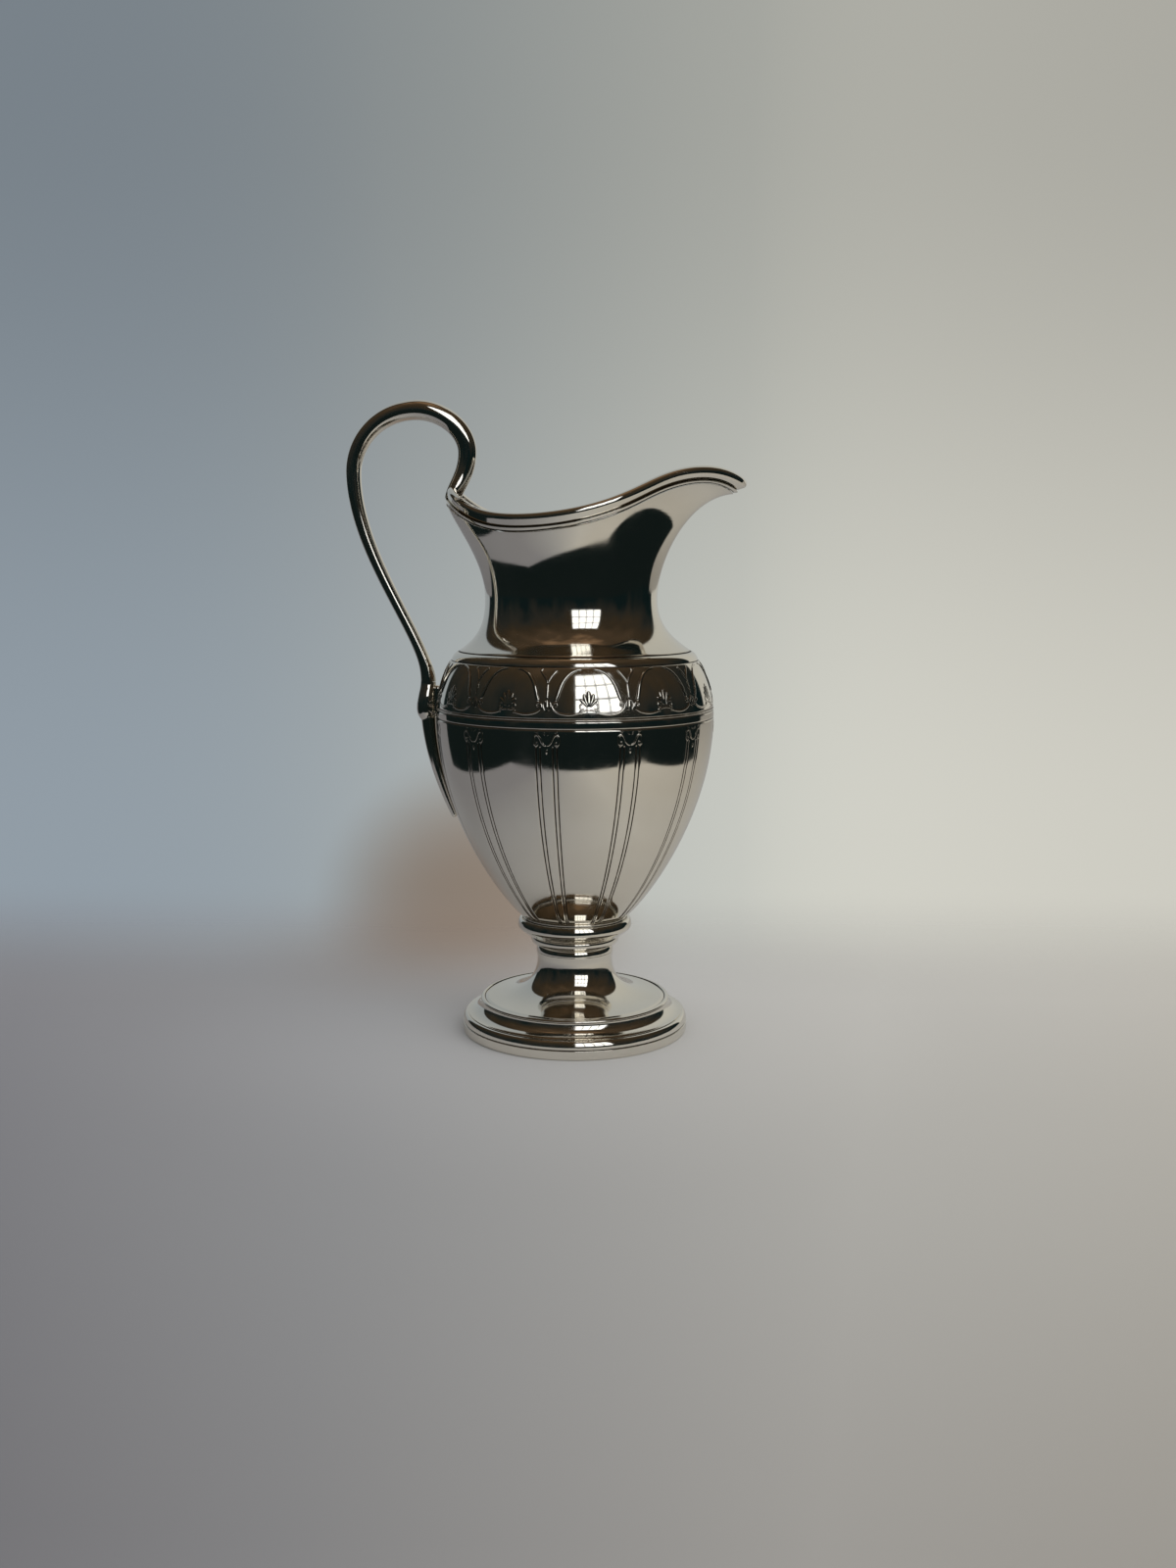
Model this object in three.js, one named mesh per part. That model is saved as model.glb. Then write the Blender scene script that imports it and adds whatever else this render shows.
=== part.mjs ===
// A footed silver table pitcher: a vase body on a pedestal, a waisted neck drawn out into a spout,
// a reeded rim and a high looped handle. Millimetres, +Z up, handle towards -X and spout towards +X.
import * as THREE from 'three';

// Base wire, the half-round ring that the pitcher stands on.
const footRingHeight = 8;
const footRingRadius = 49.2;
const footRingBulge = 1.7;
const footRingWidth = 4.4;

// Pedestal: cavetto, riser, dish and stem, spun from one sheet.
const sheet = 1;
const cavettoLip = 0.5;
const cavettoWidth = 6.1;
const cavettoRise = 5.4;
const riserWidth = 0.3;
const riserHeight = 1.2;
const dishStep = 0.8;
const dishRise = 17.4;
const dishFlatLength = 13;
const stemFlare = 13;
const stemRadius = 16.3;
const stemTopRise = 2.8;
const stemTopFlare = 0.5;

// Moulded rings between the stem and the bowl.
const stemBeadHeight = 7.2;
const stemBeadShoulderHeight = 3.4;
const stemBeadShoulder = 1.7;
const stemBeadRing = 2.3;
const stemBeadRingTop = 2;
const ringGroove = 0.6;
const knopHeight = 8.6;
const knopRadius = 24.8;
const knopBelly = 4.4;
const knopNeck = 4.2;
const knopTuck = 2.6;
const knopTuckSlope = 45;
const knopTurn = 1.5;
const knopTop = 2.3;
const ringBore = 13.2;

// Vase body: bowl below the girdle, shoulder above it.
const bowlHeight = 87.4;
const bowlFootRadius = 22.9;
const girdleRadius = 59.5;
const bowlFootOut = 11.9;
const bowlFootUp = 10.75;
const bowlFullnessHeight = 39.8;
const shoulderHeight = 27.8;
const shoulderFullnessHeight = 11.3;
const necklineRadius = 49.6;
const necklineTurn = 6.7;
const necklineSlope = 40;
const seamWidth = 1.6;

// Neck: from the neckline in to the waist, then out to the foot of the rim moulding.
const neckWaistRise = 22.2;
const neckWaistRadius = 36.65;
const neckWaistSetBack = 1.5;
const neckSpring = 10;
const neckSpringSlope = 34;
const neckWaistBelow = 11.1;
const neckWaistAbove = 15.9;
const neckSideAbove = 9.3;

// Mouth: plan and height of the lip, measured at the foot of the rim moulding.
const mouthSideRadius = 43.6;
const mouthBackRadius = 54.4;
const mouthBackTightness = 6;
const spoutReach = 66.5;
const spoutTightness = 22;
const lipSideRise = 26.3;
const lipBackLift = 16;
const lipBackTightness = 9;
const spoutLift = 23.1;
const spoutLiftTightness = 3.25;
const spoutDroop = 6;
const spoutDroopTightness = 80;
const lipFlare = 28;
const lipBackFlare = 22;
const spoutFlare = 86;
const lipFlareLength = 10.5;
const spoutFlareLength = 19;
const spoutThroatTightness = 14;
const lipEndsTightness = 4;

// Rim moulding: a bead over a reed, on a flat back.
const solderGap = 0.3;
const rimBeadHeight = 5.2;
const rimBeadDepth = 2.2;
const rimReedHeight = 1.3;
const rimReedDepth = 1;
const rimGroove = 0.4;
const rimBack = 2.2;
const rimTopRound = 1.1;
const rimTipTilt = 42;
const rimBackTilt = -25;

// Handle: an S-bend off the rim, a loop, a long arm and a flared terminal with a tail.
const rootSetIn = 1.3;
const rootEase = 2;
const sBendLean = 4.6;
const sBendRise = 11.4;
const sBendEase = 9.4;
const loopRise = 17.5;
const loopFront = 21.2;
const loopFrontUp = 9.2;
const loopFrontOver = 11.3;
const loopBack = 27.2;
const loopDrop = 26.3;
const loopBackOver = 15.1;
const loopBackDown = 14.4;
const armBow = 32.4;
const armWaistBack = 7.6;
const armWaistUp = 21;
const armWaistSlope = 110;
const armWaistAbove = 27;
const armWaistBelow = 4;
const armLanding = 8.6;
const handleDepthRoot = 7;
const handleDepthFront = 7.8;
const handleDepthLoop = 8.4;
const handleDepthBack = 6.4;
const handleDepthWaist = 4.8;
const handleDepthEnd = 6.5;
const handleWidthRoot = 10;
const handleWidthLoop = 9.6;
const handleWidthBack = 8.6;
const handleWidthWaist = 7;
const handleWidthEnd = 7.6;
const terminalDrop = 0.8;
const terminalHeight = 15.2;
const terminalDepth = 8.9;
const terminalWidth = 9.8;
const terminalFlare = 0.75;
const tailLength = 42.8;
const tailDepth = 6.2;
const tailWidth = 7.6;
const tailTipDepth = 2.6;
const tailTipWidth = 2.8;
const tailTaper = 1.1;
const tailStandOff = 0.6;

// Facets.
const latheSides = 40;
const mouthSides = 60;
const sectionSides = 12;

// Heights where one piece hands over to the next.
const footRingTop = footRingHeight;
const dishEdgeZ = footRingTop + cavettoRise + riserHeight;
const stemWaistZ = dishEdgeZ + dishRise;
const stemTopZ = stemWaistZ + stemTopRise;
const stemBeadTop = stemTopZ + stemBeadHeight;
const bowlFootZ = stemBeadTop + knopHeight;
const girdleZ = bowlFootZ + bowlHeight;
const necklineZ = girdleZ + shoulderHeight;
const neckWaistZ = necklineZ + neckWaistRise;
const lipSideZ = neckWaistZ + lipSideRise;
const rimHeight = rimBeadHeight + rimReedHeight + 2 * rimGroove;

const silver = { color: 0xd9d6cf, roughness: 0.12, metalness: 1 };
const pitcher = new THREE.Group();
pitcher.name = 'silver_pitcher';

function addPiece(name, geometry) {
  const piece = new THREE.Mesh(geometry, new THREE.MeshStandardMaterial(silver));
  piece.name = name;
  pitcher.add(piece);
}

const radians = THREE.MathUtils.degToRad;
const point = (r, z) => new THREE.Vector2(r, z);

// A point that lies at a distance from another, in a direction given in degrees above the level.
function offset(from, distance, degrees) {
  const angle = radians(degrees);
  return point(from.x + distance * Math.cos(angle), from.y + distance * Math.sin(angle));
}

function bezier(p0, p1, p2, p3, steps) {
  return new THREE.CubicBezierCurve(p0, p1, p2, p3).getPoints(steps);
}

// Quarter of an ellipse between two points: it leaves the first one level and reaches the second upright,
// or the other way round.
function quarter(from, to, leavesLevel, steps) {
  const roundness = 0.5523;
  const level = (a, b) => point(a.x + roundness * (b.x - a.x), a.y);
  const upright = (a, b) => point(a.x, a.y + roundness * (b.y - a.y));
  const near = leavesLevel ? level(from, to) : upright(from, to);
  const far = leavesLevel ? upright(to, from) : level(to, from);
  return bezier(from, near, far, to, steps);
}

// Joins stretches of a profile that share their end points.
function chain(...stretches) {
  return stretches.flatMap((stretch, i) => (i === 0 ? stretch : stretch.slice(1)));
}

// Turns a closed profile (outside first, upwards) about the Z axis.
function turned(profile) {
  const geometry = new THREE.LatheGeometry([...profile, profile[0]], latheSides);
  return geometry.rotateX(Math.PI / 2);
}

// Skins a row of rings that have equally many points. A loop of rings closes on itself; a row has two caps.
function skinned(rings, loop) {
  const count = rings[0].length;
  const positions = rings.flat().flatMap((p) => [p.x, p.y, p.z]);
  const index = [];
  const spans = loop ? rings.length : rings.length - 1;
  for (let i = 0; i < spans; i++) {
    const here = i * count;
    const next = ((i + 1) % rings.length) * count;
    for (let j = 0; j < count; j++) {
      const k = (j + 1) % count;
      index.push(here + j, here + k, next + k, here + j, next + k, next + j);
    }
  }
  if (!loop) {
    const last = (rings.length - 1) * count;
    for (let j = 1; j < count - 1; j++) {
      index.push(0, j + 1, j, last, last + j, last + j + 1);
    }
  }
  const geometry = new THREE.BufferGeometry();
  geometry.setAttribute('position', new THREE.Float32BufferAttribute(positions, 3));
  geometry.setIndex(index);
  return geometry;
}

// Base wire: flat underneath and on top, half-round outside.
function footRing() {
  const seat = footRingRadius - footRingBulge;
  const inside = footRingRadius - footRingWidth;
  const middle = point(footRingRadius, footRingHeight / 2);
  return turned([
    point(inside, 0),
    ...quarter(point(seat, 0), middle, true, 4),
    ...quarter(middle, point(seat, footRingTop), false, 4).slice(1),
    point(inside, footRingTop),
  ]);
}

// Pedestal: its edge stands on the base wire and its stem ends in a flat ring.
function pedestalFoot() {
  const edge = footRingRadius - footRingBulge - cavettoLip;
  const cavettoTop = point(edge - cavettoWidth, footRingTop + cavettoRise);
  const riserTop = point(cavettoTop.x - riserWidth, dishEdgeZ);
  const dishEdge = point(riserTop.x - dishStep, dishEdgeZ);
  const waist = point(stemRadius, stemWaistZ);
  const top = point(stemRadius + stemTopFlare, stemTopZ);
  const dish = (inset) => bezier(
    point(dishEdge.x - inset, dishEdge.y - inset),
    point(dishEdge.x - dishFlatLength - inset, dishEdge.y + dishStep - inset),
    point(waist.x - inset, waist.y - stemFlare),
    point(waist.x - inset, waist.y),
    8,
  );
  const outside = chain(
    quarter(point(edge, footRingTop), cavettoTop, true, 4),
    [cavettoTop, riserTop, dishEdge],
    dish(0),
    [waist, top],
  );
  const cavettoInside = point(cavettoTop.x - sheet, cavettoTop.y - sheet);
  const inside = chain(
    [point(top.x - sheet, top.y), point(waist.x - sheet, waist.y)],
    dish(sheet).reverse(),
    [point(dishEdge.x - sheet, dishEdgeZ - sheet), cavettoInside],
    quarter(cavettoInside, point(edge - 2 * sheet, footRingTop), false, 4),
  );
  return turned([...outside, ...inside]);
}

// Small moulded ring: a rounded shoulder on the stem, under a half-round ring.
function stemBead() {
  const foot = stemRadius + stemTopFlare;
  const shoulderTop = stemTopZ + stemBeadShoulderHeight;
  const ring = point(foot + stemBeadRing, (shoulderTop + stemBeadTop) / 2);
  return turned([
    point(ringBore, stemTopZ),
    ...quarter(point(foot, stemTopZ), point(foot - stemBeadShoulder, shoulderTop), false, 3),
    ...quarter(point(foot + ringGroove, shoulderTop), ring, true, 3),
    ...quarter(ring, point(foot + stemBeadRingTop, stemBeadTop), false, 3).slice(1),
    point(ringBore, stemBeadTop),
  ]);
}

// Knop: a full round that tapers in below, and above to a flat seat for the bowl.
function knopRing() {
  const widest = point(knopRadius, stemBeadTop + knopBelly);
  const foot = point(knopRadius - knopNeck, stemBeadTop);
  return turned([
    point(ringBore, stemBeadTop),
    ...bezier(foot, offset(foot, knopTuck, knopTuckSlope), point(widest.x, widest.y - knopTurn), widest, 4),
    ...quarter(widest, point(knopRadius - knopTop, bowlFootZ), false, 3).slice(1),
    point(ringBore, bowlFootZ),
  ]);
}

// Outer curve of the bowl, or its inner curve when it is set in by the sheet.
function bowlCurve(inset) {
  const foot = point(bowlFootRadius - inset, bowlFootZ + inset);
  return new THREE.CubicBezierCurve(
    foot,
    point(foot.x + bowlFootOut, foot.y + bowlFootUp),
    point(girdleRadius - inset, girdleZ - bowlFullnessHeight),
    point(girdleRadius - inset, girdleZ),
  );
}

function bowl() {
  return turned([
    point(0, bowlFootZ),
    ...bowlCurve(0).getPoints(12),
    ...bowlCurve(sheet).getPoints(10).reverse(),
    point(0, bowlFootZ + sheet),
  ]);
}

// Outer curve of the shoulder, or its inner curve with the given set-in at the girdle and at the neckline.
function shoulderCurve(girdleInset, necklineInset) {
  const top = point(necklineRadius - necklineInset, necklineZ);
  return new THREE.CubicBezierCurve(
    point(girdleRadius - girdleInset, girdleZ),
    point(girdleRadius - girdleInset, girdleZ + shoulderFullnessHeight),
    offset(top, necklineTurn, -necklineSlope),
    top,
  );
}

function shoulder() {
  return turned([
    ...shoulderCurve(0, 0).getPoints(8),
    ...shoulderCurve(sheet, seamWidth).getPoints(7).reverse(),
  ]);
}

// Radius of a rising profile curve at a height, found by halving.
function radiusAt(curve, z) {
  let low = 0;
  let high = 1;
  for (let i = 0; i < 30; i++) {
    const middle = (low + high) / 2;
    if (curve.getPoint(middle).y < z) {
      low = middle;
    } else {
      high = middle;
    }
  }
  return curve.getPoint(low).x;
}

function bodyRadius(z) {
  return z < girdleZ ? radiusAt(bowlCurve(0), z) : radiusAt(shoulderCurve(0, 0), z);
}

// Lip of the mouth at a bearing: 0 at the spout, pi at the handle. The spout and the back of the lip are
// smooth humps on a round mouth, each a power of the half-angle cosine or sine.
function lip(bearing) {
  const towardsSpout = (1 + Math.cos(bearing)) / 2;
  const towardsBack = 1 - towardsSpout;
  const throat = towardsSpout ** spoutThroatTightness;
  const back = towardsBack ** lipEndsTightness;
  const ends = back + towardsSpout ** lipEndsTightness;
  return {
    radius: mouthSideRadius
      + (mouthBackRadius - mouthSideRadius) * towardsBack ** mouthBackTightness
      + (spoutReach - mouthSideRadius) * towardsSpout ** spoutTightness,
    z: lipSideZ
      + lipBackLift * towardsBack ** lipBackTightness
      + spoutLift * towardsSpout ** spoutLiftTightness
      - spoutDroop * towardsSpout ** spoutDroopTightness,
    flare: lipFlare + (spoutFlare - lipFlare) * throat + (lipBackFlare - lipFlare) * back,
    flareLength: lipFlareLength + (spoutFlareLength - lipFlareLength) * throat,
    waistAbove: neckSideAbove + (neckWaistAbove - neckSideAbove) * ends,
    tilt: rimTipTilt * throat + rimBackTilt * towardsBack ** lipBackTightness,
  };
}

// Bearings round the mouth, closer together at the spout.
function bearings(count) {
  const crowding = 0.55;
  return Array.from({ length: count }, (_, i) => {
    const turn = (2 * Math.PI * i) / count;
    return turn - crowding * Math.sin(turn);
  });
}

// A point beside the lip at a bearing: out is square to the lip's plan and up is square to out. Both lean
// outwards at the spout and inwards at the handle.
function besideLip(bearing, out, up) {
  const step = 1e-3;
  const plan = (angle) => point(Math.cos(angle), Math.sin(angle)).multiplyScalar(lip(angle).radius);
  const along = plan(bearing + step).sub(plan(bearing - step)).normalize();
  const { z, tilt } = lip(bearing);
  const lean = radians(tilt);
  const level = out * Math.cos(lean) + up * Math.sin(lean);
  const foot = plan(bearing);
  return new THREE.Vector3(
    foot.x + level * along.y,
    foot.y - level * along.x,
    z + up * Math.cos(lean) - out * Math.sin(lean),
  );
}

// Section of the neck from the neckline up to the lip at a bearing, set in by the sheet for its inside.
function neckSection(bearing, inset, seam, steps) {
  const { flare, flareLength, waistAbove } = lip(bearing);
  const lipEdge = besideLip(bearing, -inset, 0);
  const springs = point(necklineRadius - seam, necklineZ);
  const waist = point(neckWaistRadius - neckWaistSetBack * Math.cos(bearing) - inset, neckWaistZ);
  const edge = point(Math.hypot(lipEdge.x, lipEdge.y), lipEdge.z);
  const edgeBearing = Math.atan2(lipEdge.y, lipEdge.x);
  const profile = chain(
    bezier(
      springs,
      offset(springs, neckSpring, 180 - neckSpringSlope),
      point(waist.x, waist.y - neckWaistBelow),
      waist,
      steps,
    ),
    bezier(
      waist,
      point(waist.x, waist.y + waistAbove),
      offset(edge, -flareLength, 90 - flare),
      edge,
      steps + 2,
    ),
  );
  return profile.map((p) => new THREE.Vector3(
    p.x * Math.cos(edgeBearing),
    p.x * Math.sin(edgeBearing),
    p.y,
  ));
}

// Neck: a loop of rings up the outside and down the inside.
function neck() {
  const sections = bearings(mouthSides).map((bearing) => [
    ...neckSection(bearing, 0, 0, 5),
    ...neckSection(bearing, sheet, seamWidth, 4).reverse(),
  ]);
  const rings = sections[0].map((_, i) => sections.map((section) => section[i]));
  return skinned(rings, true);
}

// Section of the rim moulding, from its top down: x outwards from the neck's outer face, y up from its foot.
function rimSection() {
  const reedFoot = rimGroove;
  const reed = point(rimReedDepth, reedFoot + rimReedHeight / 2);
  const beadFoot = reedFoot + rimReedHeight + rimGroove;
  const bead = point(rimBeadDepth, beadFoot + rimBeadHeight / 2);
  return [
    point(-rimBack, rimHeight - rimTopRound),
    point(rimTopRound - rimBack, rimHeight),
    ...quarter(point(0, rimHeight), bead, true, 3),
    ...quarter(bead, point(rimGroove, beadFoot), false, 3).slice(1),
    point(0, beadFoot),
    point(0, reedFoot + rimReedHeight),
    reed,
    point(0, reedFoot),
    point(0, 0),
    point(-rimBack, 0),
  ];
}

// Rim moulding: its section is carried round the lip.
function rimMoulding() {
  const section = rimSection();
  const rings = bearings(mouthSides).map((bearing) => section.map(
    (p) => besideLip(bearing, p.x, p.y + solderGap),
  ));
  return skinned(rings, true);
}

// Landmarks of the handle in its own plane: x is the distance from the axis, negative at the handle.
const rimTopBack = besideLip(Math.PI, 0, rimHeight + solderGap);
const handleRoot = point(rimTopBack.x + rootSetIn, rimTopBack.z + solderGap);
const loopFrontEnd = point(handleRoot.x + sBendLean, handleRoot.y + sBendRise);
const loopTop = point(loopFrontEnd.x - loopFront, loopFrontEnd.y + loopRise);
const loopBackEnd = point(loopTop.x - loopBack, loopTop.y - loopDrop);
const terminalFoot = girdleZ - terminalDrop;
const terminalTop = terminalFoot + terminalHeight;
const terminalInside = -(bodyRadius(terminalFoot) + solderGap);
const armEnd = point(terminalInside - handleDepthEnd / 2, terminalTop);
const armWaist = point(armEnd.x - armWaistBack, armEnd.y + armWaistUp);

// Oval ring of a bar that runs in the handle's plane, square to the direction given.
function barRing(centre, direction, depth, width) {
  return Array.from({ length: sectionSides }, (_, i) => {
    const turn = (2 * Math.PI * i) / sectionSides;
    const across = (depth / 2) * Math.cos(turn);
    return new THREE.Vector3(
      centre.x + across * direction.y,
      (width / 2) * Math.sin(turn),
      centre.y - across * direction.x,
    );
  });
}

// Handle: five curves that join smoothly, with an oval section that swells round the loop and at the end.
function handle() {
  const level = (p, distance) => point(p.x + distance, p.y);
  const upright = (p, distance) => point(p.x, p.y + distance);
  const alongArm = (distance) => offset(armWaist, distance, armWaistSlope);
  const stretches = [
    [handleRoot, upright(handleRoot, rootEase), upright(loopFrontEnd, -sBendEase), loopFrontEnd, 6],
    [loopFrontEnd, upright(loopFrontEnd, loopFrontUp), level(loopTop, loopFrontOver), loopTop, 7],
    [loopTop, level(loopTop, -loopBackOver), upright(loopBackEnd, loopBackDown), loopBackEnd, 8],
    [loopBackEnd, upright(loopBackEnd, -armBow), alongArm(armWaistAbove), armWaist, 10],
    [armWaist, alongArm(-armWaistBelow), upright(armEnd, armLanding), armEnd, 5],
  ];
  const sizes = [
    [handleDepthRoot, handleWidthRoot],
    [handleDepthFront, handleWidthLoop],
    [handleDepthLoop, handleWidthLoop],
    [handleDepthBack, handleWidthBack],
    [handleDepthWaist, handleWidthWaist],
    [handleDepthEnd, handleWidthEnd],
  ];
  const rings = stretches.flatMap(([a, b, c, d, steps], i) => {
    const curve = new THREE.CubicBezierCurve(a, b, c, d);
    const share = Array.from({ length: steps + 1 }, (_, k) => k / steps).slice(i === 0 ? 0 : 1);
    return share.map((t) => barRing(
      curve.getPoint(t),
      curve.getTangent(t),
      THREE.MathUtils.lerp(sizes[i][0], sizes[i + 1][0], t),
      THREE.MathUtils.lerp(sizes[i][1], sizes[i + 1][1], t),
    ));
  });
  return skinned(rings, false);
}

// Bar that hangs down: its inner side is given by a function of height, and its oval grows or tapers.
function hangingBar(top, bottom, insideAt, depths, widths, ease, steps) {
  const rings = Array.from({ length: steps + 1 }, (_, k) => {
    const share = k / steps;
    const z = THREE.MathUtils.lerp(top, bottom, share);
    const depth = THREE.MathUtils.lerp(depths[0], depths[1], share ** ease);
    const width = THREE.MathUtils.lerp(widths[0], widths[1], share ** ease);
    return barRing(point(insideAt(z) - depth / 2, z), point(0, -1), depth, width);
  });
  return skinned(rings, false);
}

function handleTerminal() {
  return hangingBar(
    terminalTop,
    terminalFoot,
    () => terminalInside,
    [handleDepthEnd, terminalDepth],
    [handleWidthEnd, terminalWidth],
    terminalFlare,
    6,
  );
}

function handleTail() {
  return hangingBar(
    terminalFoot,
    terminalFoot - tailLength,
    (z) => -(bodyRadius(z) + tailStandOff),
    [tailDepth, tailTipDepth],
    [tailWidth, tailTipWidth],
    tailTaper,
    9,
  );
}

addPiece('foot_ring', footRing());
addPiece('pedestal_foot', pedestalFoot());
addPiece('stem_bead', stemBead());
addPiece('knop_ring', knopRing());
addPiece('bowl', bowl());
addPiece('shoulder', shoulder());
addPiece('neck', neck());
addPiece('rim_moulding', rimMoulding());
addPiece('handle', handle());
addPiece('handle_terminal', handleTerminal());
addPiece('handle_tail', handleTail());

// The origin is on the table, under the middle of the pitcher's reach from handle to spout.
const extent = new THREE.Box3().setFromObject(pitcher);
pitcher.position.x = -(extent.min.x + extent.max.x) / 2;

export default pitcher;
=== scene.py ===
import bmesh
import bpy
import numpy as np
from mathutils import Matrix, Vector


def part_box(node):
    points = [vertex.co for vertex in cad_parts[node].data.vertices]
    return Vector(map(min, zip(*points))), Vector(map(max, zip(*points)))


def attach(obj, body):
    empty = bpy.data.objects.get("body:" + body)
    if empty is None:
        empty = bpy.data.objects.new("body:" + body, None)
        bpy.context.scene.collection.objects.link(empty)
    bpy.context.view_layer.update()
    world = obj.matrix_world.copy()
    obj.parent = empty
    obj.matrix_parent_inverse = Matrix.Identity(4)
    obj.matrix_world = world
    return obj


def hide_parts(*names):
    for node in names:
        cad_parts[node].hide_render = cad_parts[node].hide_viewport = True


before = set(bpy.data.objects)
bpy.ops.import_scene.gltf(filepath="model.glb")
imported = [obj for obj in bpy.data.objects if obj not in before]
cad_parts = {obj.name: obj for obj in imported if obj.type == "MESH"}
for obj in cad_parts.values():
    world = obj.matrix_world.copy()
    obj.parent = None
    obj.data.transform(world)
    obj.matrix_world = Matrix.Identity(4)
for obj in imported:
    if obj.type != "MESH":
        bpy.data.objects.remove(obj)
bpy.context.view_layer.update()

# Base wire: heavy silver wire, a band with a rounded top edge, bent to a ring and soldered under the edge
# of the foot. The pitcher stands on it. A line is turned where the band meets the rounding.
MM = 0.001
bowl_low, bowl_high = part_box("bowl")
axis_x = (bowl_low.x + bowl_high.x) / 2


def span(node):
    """Lowest and highest corner of a CAD node in millimetres, with x counted from the vase's axis."""
    low, high = (np.array(corner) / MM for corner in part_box(node))
    to_axis = np.array([axis_x / MM, 0, 0])
    return low - to_axis, high - to_axis


def quarter(start, end, leaves_level, count=60):
    """A quarter of an ellipse between two points (radius, height): one coordinate grows as the sine of the
    turn and the other as one less its cosine, so it leaves level and arrives upright, or the reverse."""
    turn = np.linspace(0, np.pi / 2, count)[:, None]
    fast, slow = np.sin(turn), 1 - np.cos(turn)
    share = np.hstack([fast, slow]) if leaves_level else np.hstack([slow, fast])
    return np.array(start) + (np.array(end) - np.array(start)) * share


def softened(outline, softness, count):
    """A closed outline (radius, height) with its corners rounded as polishing rounds them. It is walked in
    small equal steps, each point is averaged with its neighbours by a bell curve of the given width, and
    points are picked so that half of them go by length and half by how much the outline bends. Returns the
    points, and how deep in a hollow each one sits: the inward bend, in steps of a quarter millimetre."""
    loop = np.vstack([outline, outline[:1]])
    walked = np.r_[0, np.cumsum(np.hypot(*np.diff(loop, axis=0).T))]
    steps = int(4 * walked[-1] / softness)
    at = np.arange(steps) * walked[-1] / steps
    fine = np.stack([np.interp(at, walked, loop[:, 0]), np.interp(at, walked, loop[:, 1])], axis=1)
    reach = np.arange(-12, 13)
    bell = np.exp(-((reach / 4) ** 2) / 2)
    fine = sum(b * np.roll(fine, k, axis=0) for b, k in zip(bell / bell.sum(), reach))
    ahead = np.roll(fine, -1, axis=0) - fine
    heading = np.arctan2(ahead[:, 1], ahead[:, 0])
    turn = (heading - np.roll(heading, 1) + np.pi) % (2 * np.pi) - np.pi
    stride = np.hypot(*ahead.T)
    hollow = np.clip(-0.25 * turn / stride, 0, 1)
    crowd = np.cumsum(stride / stride.sum() + np.abs(turn) / np.abs(turn).sum())
    pick = np.interp(np.arange(count) * 2 / count, np.r_[0, crowd[:-1]], np.arange(steps))
    picked = [np.interp(pick, np.arange(steps), values) for values in (*fine.T, hollow)]
    return np.stack(picked[:2], axis=1), picked[2]


def turned(profile, bearings):
    """A profile (radius, height) turned about the vase's axis: a row for each of its points, a column for
    each bearing, with x and y the radius times the bearing's cosine and sine."""
    radius, height = profile[:, :1], profile[:, 1:]
    return np.stack([radius * np.cos(bearings), radius * np.sin(bearings), height + 0 * bearings], axis=2)


def grid(points, closed=True, **marks):
    """A surface over rows and columns of points, or over several copies of them. Every four neighbours make
    a face, the columns join up, and so do the rows if closed; if not, the first and last row are poles.
    Each copy's faces are turned outwards by the sign of the volume that they enclose. Marks are values on
    the points that the finish reads. Returns points, faces and marks."""
    copies, rows, columns = (1, *points.shape[:-1])[-3:]
    flat = points.reshape(-1, 3)
    index = np.arange(len(flat)).reshape(copies, rows, columns)
    index = np.pad(index, ((0, 0), (0, int(closed)), (0, 1)), mode="wrap")
    corners = (index[:, :-1, :-1], index[:, :-1, 1:], index[:, 1:, 1:], index[:, 1:, :-1])
    faces = np.stack(corners, axis=3).reshape(copies, -1, 4)
    a, b, c, d = (flat[faces[..., k]] for k in range(4))
    inside_out = np.sum(a * (np.cross(b, c) + np.cross(c, d)), axis=(1, 2)) < 0
    faces[inside_out] = faces[inside_out, :, ::-1]
    spread = {mark: np.broadcast_to(values, (copies, rows, columns)) for mark, values in marks.items()}
    return flat, faces.reshape(-1, 4), spread


def fitted(name, grids, finish, node):
    """A piece made of one or more grids: one smooth mesh with its poles merged, in place on the vase. It
    rides on the root body, stands for a CAD node, which it hides, and carries the given finish."""
    starts = np.cumsum([0] + [len(points) for points, _, _ in grids])
    places = np.vstack([points for points, _, _ in grids]) * MM + (axis_x, 0, 0)
    faces = np.vstack([quads + start for (_, quads, _), start in zip(grids, starts)])
    mesh = bpy.data.meshes.new(name)
    mesh.vertices.add(len(places))
    mesh.vertices.foreach_set("co", places.ravel())
    mesh.loops.add(faces.size)
    mesh.loops.foreach_set("vertex_index", faces.ravel())
    mesh.polygons.add(len(faces))
    mesh.polygons.foreach_set("loop_start", np.arange(0, faces.size, 4))
    mesh.update()
    for mark in ("hollow", "inside"):
        values = [
            marks[mark].ravel() if mark in marks else np.zeros(len(points)) for points, _, marks in grids
        ]
        layer = mesh.attributes.new(mark, "FLOAT", "POINT")
        layer.data.foreach_set("value", np.concatenate(values).astype(np.float32))
    shell = bmesh.new()
    shell.from_mesh(mesh)
    bmesh.ops.remove_doubles(shell, verts=shell.verts, dist=1e-7)
    shell.to_mesh(mesh)
    shell.free()
    mesh.shade_smooth()
    mesh.set_sharp_from_angle(angle=np.radians(60))
    mesh.materials.append(finish)
    piece = bpy.data.objects.new(name, mesh)
    bpy.context.scene.collection.objects.link(piece)
    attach(piece, "root")
    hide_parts(node)


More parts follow.
